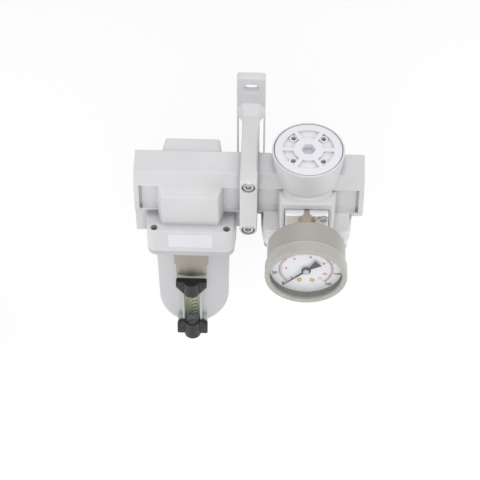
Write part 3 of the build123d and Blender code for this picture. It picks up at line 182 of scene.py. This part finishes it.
def metal(name, colour, rough=0.3, brushed=(1.0, 1.0, 1.0), streak=500.0, dark=0.6):
    """Machined or drawn metal with fine tool marks, a little tarnish and a painted highlight along edges."""
    g = Graph(name)
    marks = g.noise(streak, 5.0, coords=g.stretched(brushed))
    tarnish = g.noise(45.0, 4.0)
    base = g.ramp(tarnish, [(0.25, tuple(c * dark for c in colour)), (0.6, colour)])
    # Painted highlight along edges.
    metal_edge_highlight = tuple(min(1.0, c * 1.2) for c in colour)
    base = g.mix(g.edges(0.0003), base, metal_edge_highlight)
    normal = g.bump(marks, 0.25, 0.00002)
    roughness = g.span(marks, rough - 0.1, rough + 0.12)
    return g.finish(Base_Color=base, Metallic=1.0, Roughness=roughness, Normal=normal)


def rubber(name):
    g = Graph(name)
    base = g.ramp(g.noise(60.0), [(0.3, (0.012, 0.012, 0.013)), (0.7, (0.03, 0.03, 0.03))])
    normal = g.bump(g.noise(1100.0), 0.3, 0.00003)
    return g.finish(Base_Color=base, Roughness=0.62, Normal=normal)


def clear(name, colour, alpha, rough=0.04):
    """Thin clear glass or acrylic: mostly see-through, with a faint sheen and waviness."""
    g = Graph(name)
    tint = g.ramp(g.noise(30.0, 2.0), [(0.3, colour), (0.7, tuple(min(1.0, c * 1.03) for c in colour))])
    normal = g.bump(g.noise(60.0, 1.0), 0.04, 0.00005)
    return g.finish(Base_Color=tint, Roughness=rough, Normal=normal, Alpha=alpha, Specular_IOR_Level=0.8)


def stripes(name):
    """The strip behind the level tube: gold and green bars slanting up to the right."""
    g = Graph(name)
    parted = g.node("ShaderNodeSeparateXYZ", Vector=g.coords)
    slant = g.math("ADD", parted.outputs["Z"], g.math("MULTIPLY", parted.outputs["X"], -0.9))
    phase = g.math("FRACT", g.math("MULTIPLY", slant, 1.0 / (4.8 * MM)))
    low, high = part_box("sight_reflector")
    height = g.node(
        "ShaderNodeMapRange", Value=parted.outputs["Z"], From_Min=low.z, From_Max=high.z,
    ).outputs["Result"]
    bars = g.ramp(height, [(0.1, (0.05, 0.07, 0.02)), (0.5, (0.16, 0.22, 0.04)), (0.85, (0.50, 0.26, 0.04))])
    ground = g.ramp(height, [(0.1, (0.24, 0.28, 0.18)), (0.8, (0.82, 0.80, 0.62))])
    edge = g.ramp(phase, [(0.46, (0.0, 0.0, 0.0)), (0.54, (1.0, 1.0, 1.0))])
    base = g.mix(edge, bars, ground)
    normal = g.bump(g.noise(900.0), 0.1, 0.00002)
    return g.finish(Base_Color=base, Roughness=0.35, Normal=normal)


def sintered(name):
    """Pressed and fused grains."""
    g = Graph(name)
    grains = g.node("ShaderNodeTexVoronoi", Vector=g.coords, Scale=900.0)
    base = g.ramp(grains.outputs["Distance"], [(0.0, (0.86, 0.85, 0.81)), (0.8, (0.62, 0.61, 0.57))])
    normal = g.bump(grains.outputs["Distance"], 0.5, 0.0002)
    return g.finish(Base_Color=base, Roughness=0.85, Normal=normal)


MATERIALS = {
    "body_paint": paint("body_paint", (0.71, 0.712, 0.725)),
    # The bowl wears the body's white paint, set darker here: painted shade for the bowl hanging below the
    # heads.
    "bowl_paint": paint("bowl_paint", (0.545, 0.55, 0.565), rough=0.36),
    "bracket_paint": paint("bracket_paint", (0.71, 0.712, 0.722)),
    "white_plastic": plastic("white_plastic", (0.82, 0.82, 0.86), subsurface=0.05),
    "grey_plastic": plastic("grey_plastic", (0.60, 0.60, 0.62)),
    "plate_film": metal("plate_film", (0.40, 0.365, 0.315), 0.42, (1.0, 1.0, 0.05), 900.0, dark=0.9),
    # The large edge factor paints highlights along the black edges.
    "black_plastic": plastic(
        "black_plastic", (0.007, 0.007, 0.0075), rough=0.42, grain=700.0, tint=0.25, edge=7.0,
    ),
    "zinc_steel": metal("zinc_steel", (0.60, 0.59, 0.57), 0.34),
    "dark_steel": metal("dark_steel", (0.10, 0.10, 0.105), 0.36),
    "clear_tube": clear("clear_tube", (0.80, 0.86, 0.80), 0.04),
    "striped_film": stripes("striped_film"),
    "seal_rubber": rubber("seal_rubber"),
    "float_black": plastic("float_black", (0.015, 0.015, 0.015), rough=0.25, tint=0.2),
    "brass": metal("brass", (0.78, 0.56, 0.24), 0.28),
    "aluminium": metal("aluminium", (0.80, 0.80, 0.80), 0.35),
    "sintered_white": sintered("sintered_white"),
    "spring_steel": metal("spring_steel", (0.50, 0.50, 0.50), 0.25),
    "case_paint": paint("case_paint", (0.41, 0.395, 0.365), rough=0.30, tint=0.02),
    "clear_lens": clear("clear_lens", (0.95, 0.97, 1.0), 0.05, rough=0.02),
    "dial_white": paint("dial_white", (0.94, 0.95, 0.98), rough=0.35, grain=2000.0, tint=0.008, crease_shade_depth=1.0),
    "pointer_black": paint("pointer_black", (0.012, 0.012, 0.012), rough=0.30, tint=0.1),
}


def two_tone_fitting(name):
    """The gauge's stem: brass, painted dull grey-beige near the block for the shade it lies in there, and
    painted bright where it catches light at the case.
    """
    g = Graph(name)
    parted = g.node("ShaderNodeSeparateXYZ", Vector=g.coords)
    shaded_near_block = g.math("GREATER_THAN", parted.outputs["Y"], -45.5 * MM)
    marks = g.noise(500.0, 5.0)
    # Painted shade near the block, painted highlight of bright brass towards the case.
    base = g.mix(shaded_near_block, (0.86, 0.50, 0.12), (0.60, 0.57, 0.50))
    normal = g.bump(marks, 0.25, 0.00002)
    return g.finish(Base_Color=base, Metallic=1.0, Roughness=g.span(marks, 0.24, 0.44), Normal=normal)


def satin_cover(name):
    """The port block: bead-blasted aluminium under a thin clear coat, set to the beige of its shaded front;
    faces turned up are painted near white as lit from above, creases get painted shade and edges a painted
    highlight.
    """
    g = Graph(name)
    grains = g.noise(800.0, 3.0)
    # Painted shade: the ground is the beige of the front lying in the gauge's shade.
    base = g.ramp(g.noise(40.0), [(0.3, (0.72, 0.70, 0.65)), (0.7, (0.78, 0.76, 0.71))])
    geometry = g.tree.nodes.new("ShaderNodeNewGeometry")
    facing = g.node("ShaderNodeSeparateXYZ", Vector=geometry.outputs["Normal"])
    # Painted highlight: faces turned up are painted near white.
    lit_top_mask = g.math("GREATER_THAN", facing.outputs["Z"], 0.7)
    base = g.mix(lit_top_mask, base, (0.93, 0.93, 0.95))
    base = g.mix(g.edges(0.0008), g.creases(base, 5 * MM, 0.6), (0.9, 0.9, 0.9))
    normal = g.bump(grains, 0.3, 0.00002)
    return g.finish(Base_Color=base, Metallic=0.35, Roughness=g.span(grains, 0.38, 0.52), Normal=normal)


GAUGE_FITTING = two_tone_fitting("gauge_fitting_brass")
PORT_COVER = satin_cover("port_cover_satin")
# The bead is painted paler than the case and the ring: a painted highlight along the rolled edge.
ROLLED_EDGE_HIGHLIGHT = paint("rolled_edge_highlight", (0.62, 0.61, 0.58), rough=0.22, tint=0.02, crease_shade_depth=0.8)
# The ring is the case's paint made paler: a painted highlight on the lit front ring.
BEZEL_LIT_PAINT = paint("bezel_lit_paint", (0.47, 0.46, 0.43), rough=0.26, tint=0.02, crease_shade_depth=0.5)
PRINT_BLACK = plastic("print_black", (0.02, 0.02, 0.025), rough=0.4)
PRINT_RED = plastic("print_red", (0.62, 0.05, 0.10), rough=0.4)

for entry in frame["record"]["subparts"]:
    node = frame["nodes"][entry["node"]]
    for slot in node.material_slots:
        slot.material = MATERIALS[entry["material_slot"]]
frame["nodes"]["gauge_fitting"].material_slots[0].material = GAUGE_FITTING
frame["nodes"]["port_cover"].material_slots[0].material = PORT_COVER
frame["nodes"]["gauge_bezel"].material_slots[0].material = BEZEL_LIT_PAINT


# ---------------------------------------------------------------- small meshes
def add_piece(name, mesh, body, slot, material=None):
    """Puts a mesh in the scene as a piece that rides on a body."""
    piece = bpy.data.objects.new(name, mesh)
    bpy.context.scene.collection.objects.link(piece)
    mesh.materials.clear()
    mesh.materials.append(material or MATERIALS[slot])
    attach(piece, body)
    return piece


def from_bmesh(name, bm):
    bmesh.ops.recalc_face_normals(bm, faces=bm.faces)
    mesh = bpy.data.meshes.new(name)
    bm.to_mesh(mesh)
    bm.free()
    return mesh


def add_block(bm, corners, depth):
    """A flat polygon (corners in 3D) given a thickness along a vector."""
    front = [bm.verts.new(c) for c in corners]
    back = [bm.verts.new(c + depth) for c in corners]
    bm.faces.new(front)
    bm.faces.new(list(reversed(back)))
    for i in range(len(front)):
        j = (i + 1) % len(front)
        bm.faces.new([front[j], front[i], back[i], back[j]])


# ---------------------------------------------------------------- gauge dial
dial_low, dial_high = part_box("gauge_dial")
DIAL_CENTRE = (dial_low + dial_high) / 2
DIAL_FACE = dial_low.y
PRINT_HEIGHT = 0.06 * MM
ZERO_ANGLE = 225.0
SWEEP = 270.0


def on_dial(radius, angle):
    """A point on the dial's face. The angle runs anticlockwise from the right, in degrees."""
    a = radians(angle)
    return Vector((DIAL_CENTRE.x + radius * cos(a), DIAL_FACE, DIAL_CENTRE.z + radius * sin(a)))


def reading_angle(share):
    """The angle of a reading, as a share of full scale."""
    return ZERO_ANGLE - SWEEP * share


def tick(bm, share, inner, outer, width):
    a = radians(reading_angle(share))
    side = Vector((-sin(a), 0.0, cos(a))) * width / 2
    start = on_dial(inner, reading_angle(share))
    end = on_dial(outer, reading_angle(share))
    add_block(bm, [start - side, start + side, end + side, end - side], Vector((0, -PRINT_HEIGHT, 0)))


def arc(bm, radius, width, start, end, steps=72):
    for i in range(steps):
        a0 = start + (end - start) * i / steps
        a1 = start + (end - start) * (i + 1) / steps
        ring = [on_dial(radius - width / 2, a0), on_dial(radius + width / 2, a0),
                on_dial(radius + width / 2, a1), on_dial(radius - width / 2, a1)]
        add_block(bm, ring, Vector((0, -PRINT_HEIGHT, 0)))


def scale_print(name, material, circle, minor, major, divisions, per_major, width):
    bm = bmesh.new()
    for i in range(divisions + 1):
        if i % per_major == 0:
            tick(bm, i / divisions, circle, major, width * 1.6)
        else:
            tick(bm, i / divisions, circle, minor, width)
    arc(bm, circle, width * 1.6, ZERO_ANGLE, ZERO_ANGLE - SWEEP)
    add_piece(name, from_bmesh(name, bm), "housing", "pointer_black", material)


def numeral(name, text, radius, share, height, material):
    curve = bpy.data.curves.new(name, "FONT")
    curve.body = text
    curve.size = height
    curve.align_x = "CENTER"
    curve.align_y = "CENTER"
    curve.extrude = PRINT_HEIGHT / 2
    curve.offset = 0.15 * MM
    curve.resolution_u = 3
    holder = bpy.data.objects.new(name + "_text", curve)
    bpy.context.scene.collection.objects.link(holder)
    place = on_dial(radius, reading_angle(share)) + Vector((0, -PRINT_HEIGHT / 2, 0))
    holder.matrix_world = Matrix.Translation(place) @ Matrix.Rotation(pi / 2, 4, "X")
    bpy.context.view_layer.update()
    evaluated = holder.evaluated_get(bpy.context.evaluated_depsgraph_get())
    mesh = bpy.data.meshes.new_from_object(evaluated)
    mesh.transform(holder.matrix_world)
    bpy.data.objects.remove(holder)
    bpy.data.curves.remove(curve)
    add_piece(name, mesh, "housing", "pointer_black", material)


# Both scales run outward or inward from their circle to the ends of the minor and major marks.
LINE_WIDTH = 0.26 * MM
OUTER_CIRCLE, OUTER_MINOR, OUTER_MAJOR = 22.2 * MM, 23.2 * MM, 24.2 * MM
INNER_CIRCLE, INNER_MINOR, INNER_MAJOR = 21.2 * MM, 20.2 * MM, 19.0 * MM
OUTER_NUMERALS, OUTER_NUMERAL_HEIGHT = 26.6 * MM, 3.9 * MM
INNER_NUMERALS, INNER_NUMERAL_HEIGHT = 16.6 * MM, 3.6 * MM
FULL_OUTER, FULL_INNER = 160, 11
scale_print("psi_scale", PRINT_BLACK, OUTER_CIRCLE, OUTER_MINOR, OUTER_MAJOR, 80, 10, LINE_WIDTH)
scale_print("bar_scale", PRINT_RED, INNER_CIRCLE, INNER_MINOR, INNER_MAJOR, 5 * FULL_INNER, 5, LINE_WIDTH)
for value in range(0, FULL_OUTER + 1, 20):
    share = value / FULL_OUTER
    numeral(f"psi_{value}", str(value), OUTER_NUMERALS, share, OUTER_NUMERAL_HEIGHT, PRINT_BLACK)
for value in list(range(0, FULL_INNER, 2)) + [FULL_INNER]:
    share = value / FULL_INNER
    numeral(f"bar_{value}", str(value), INNER_NUMERALS, share, INNER_NUMERAL_HEIGHT, PRINT_RED)


# ---------------------------------------------------------------- rolled edge of the gauge's ring
def rolled_edge(name, thickness, segments=96, sides=10):
    """A half-sunk bead round the back edge of the ring, where it is rolled over the case."""
    low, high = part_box("gauge_bezel")
    x, z = (low.x + high.x) / 2, (low.z + high.z) / 2
    radius = (high.x - low.x) / 2 - thickness
    bm = bmesh.new()
    loops = []
    for i in range(segments):
        a = 2 * pi * i / segments
        loop = []
        for j in range(sides):
            b = 2 * pi * j / sides
            reach = radius + thickness * cos(b)
            loop.append(bm.verts.new((x + reach * cos(a), high.y + thickness * sin(b), z + reach * sin(a))))
        loops.append(loop)
    for i, loop in enumerate(loops):
        onward = loops[(i + 1) % segments]
        for j in range(sides):
            k = (j + 1) % sides
            bm.faces.new([loop[j], loop[k], onward[k], onward[j]])
    mesh = from_bmesh(name, bm)
    mesh.shade_smooth()
    add_piece(name, mesh, "housing", "case_paint", ROLLED_EDGE_HIGHLIGHT)


rolled_edge("bezel_rolled_edge", 0.8 * MM)


# ---------------------------------------------------------------- blank label
CLEAR_OF_THE_FRONT = 0.2


def blank_label(name, width, height, corner, thickness, z):
    """A plain label with round corners on the flat front of the filter's skirt."""
    skirt = frame["nodes"]["filter_body"]
    low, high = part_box("filter_bowl")
    x = (low.x + high.x) / 2
    start = Vector((x, -CLEAR_OF_THE_FRONT, z))
    y = skirt.ray_cast(start, Vector((0.0, 1.0, 0.0)))[1].y
    bm = bmesh.new()
    outline = []
    for quarter in range(4):
        turn = quarter * pi / 2
        side_x = 1 if quarter in (0, 3) else -1
        side_z = 1 if quarter in (0, 1) else -1
        for step in range(6):
            a = turn + step * pi / 10
            outline.append(Vector((
                x + side_x * (width / 2 - corner) + corner * cos(a), y,
                z + side_z * (height / 2 - corner) + corner * sin(a),
            )))
    add_block(bm, outline, Vector((0, -thickness, 0)))
    add_piece(name, from_bmesh(name, bm), "housing", "white_plastic")


blank_label("filter_label", 38.0 * MM, 17.0 * MM, 1.2 * MM, 0.15 * MM, -37.0 * MM)


# ---------------------------------------------------------------- stage, light and camera
FLOOR_HEIGHT = -0.30
bm = bmesh.new()
bmesh.ops.create_grid(bm, x_segments=1, y_segments=1, size=1.6)
floor_mesh = from_bmesh("floor", bm)
floor = bpy.data.objects.new("floor", floor_mesh)
floor.location = (0, 0, FLOOR_HEIGHT)
bpy.context.scene.collection.objects.link(floor)
g = Graph("floor_white")
floor_mesh.materials.append(
    g.finish(
        Base_Color=(0.93, 0.93, 0.93, 1.0), Roughness=0.9, Emission_Color=(1.0, 1.0, 1.0, 1.0),
        Emission_Strength=0.17,
    )
)

world = bpy.data.worlds.new("studio")
bpy.context.scene.world = world
world.use_nodes = True
world.node_tree.nodes["Background"].inputs["Color"].default_value = (1.0, 1.0, 1.0, 1.0)
world.node_tree.nodes["Background"].inputs["Strength"].default_value = 0.46


def area_light(name, place, aim, size, power, colour=(1.0, 1.0, 1.0)):
    data = bpy.data.lights.new(name, "AREA")
    data.shape = "RECTANGLE"
    data.size, data.size_y = size
    data.energy = power
    data.color = colour
    light = bpy.data.objects.new(name, data)
    light.location = place
    light.rotation_euler = (Vector(aim) - Vector(place)).to_track_quat("-Z", "Y").to_euler()
    bpy.context.scene.collection.objects.link(light)


TARGET = Vector((90.055 * MM, 0.0, -77.448 * MM))
area_light("overhead", (0.1, 0.15, 1.6), TARGET, (1.4, 1.4), 2.6)
area_light("front", (0.1, -1.3, 1.2), TARGET, (1.2, 0.9), 7.6)
area_light("left", (-1.4, -0.4, 0.9), TARGET, (0.9, 0.9), 6.5)
area_light("right", (1.6, -0.4, 0.9), TARGET, (0.9, 0.9), 9.5)
area_light("low_left", (-1.6, -0.7, 0.0), TARGET, (0.9, 0.5), 2.0)
area_light("back", (0.1, 1.4, 1.1), TARGET, (1.2, 0.9), 3.2)

AZIMUTH, ELEVATION = radians(-1.779), radians(50.7595)
DISTANCE = 1.8
looking = Vector((sin(AZIMUTH) * cos(ELEVATION), cos(AZIMUTH) * cos(ELEVATION), -sin(ELEVATION)))
camera_data = bpy.data.cameras.new("camera")
camera_data.sensor_width = 36.0
camera_data.lens = 151.97
camera_data.clip_start = 0.1
camera_data.clip_end = 50.0
camera = bpy.data.objects.new("camera", camera_data)
camera.location = TARGET - looking * DISTANCE
camera.rotation_euler = looking.to_track_quat("-Z", "Y").to_euler()
bpy.context.scene.collection.objects.link(camera)
bpy.context.scene.camera = camera
bpy.context.scene.view_settings.view_transform = "Standard"
